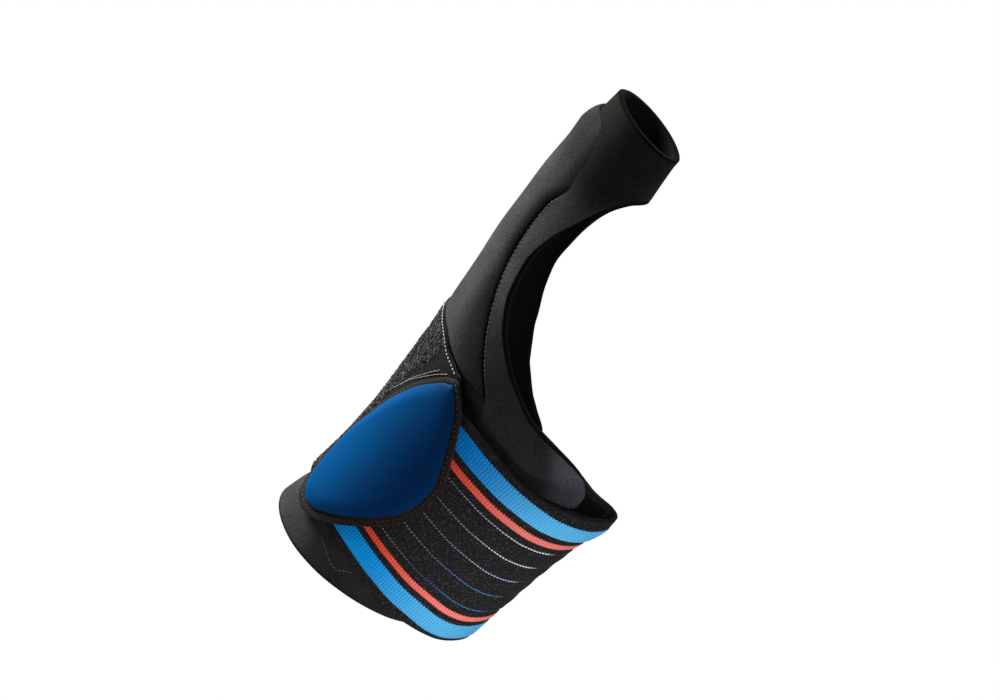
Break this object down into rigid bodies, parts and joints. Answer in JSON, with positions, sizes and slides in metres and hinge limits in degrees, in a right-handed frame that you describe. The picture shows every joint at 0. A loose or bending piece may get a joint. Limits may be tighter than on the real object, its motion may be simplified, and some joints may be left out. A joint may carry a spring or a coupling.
{
  "type": "wrist thumb brace",
  "caption": "Soft wrist and thumb brace in its worn form: neoprene thumb sleeve with a padded stay pocket, wrist wrap, striped elastic strap and leaf-shaped badge tab.",
  "frame": {"origin": "on the wrist's axis, half way up the elastic strap", "axes": "+Z along the wrist from the forearm to the hand, -Y out of the front with the badge, -X to the thumb side"},
  "size_m": [0.0917, 0.0587, 0.1642],
  "materials": {
    "neoprene": "matte jersey-faced neoprene",
    "elastic": "woven elastic with sky blue, coral and black stripes",
    "loop_fabric": "brushed loop pile",
    "tab_fabric": "flat woven, stitched at the edge",
    "badge_plastic": "glossy domed blue plate, bare"
  },
  "bodies": {
    "root": {"thumb_sleeve": "neoprene", "stay_panel": "neoprene", "wrist_wrap": "neoprene", "elastic_strap": "elastic", "loop_patch": "loop_fabric", "badge_tab": "tab_fabric", "badge_plate": "badge_plastic"}
  },
  "joints": []
}
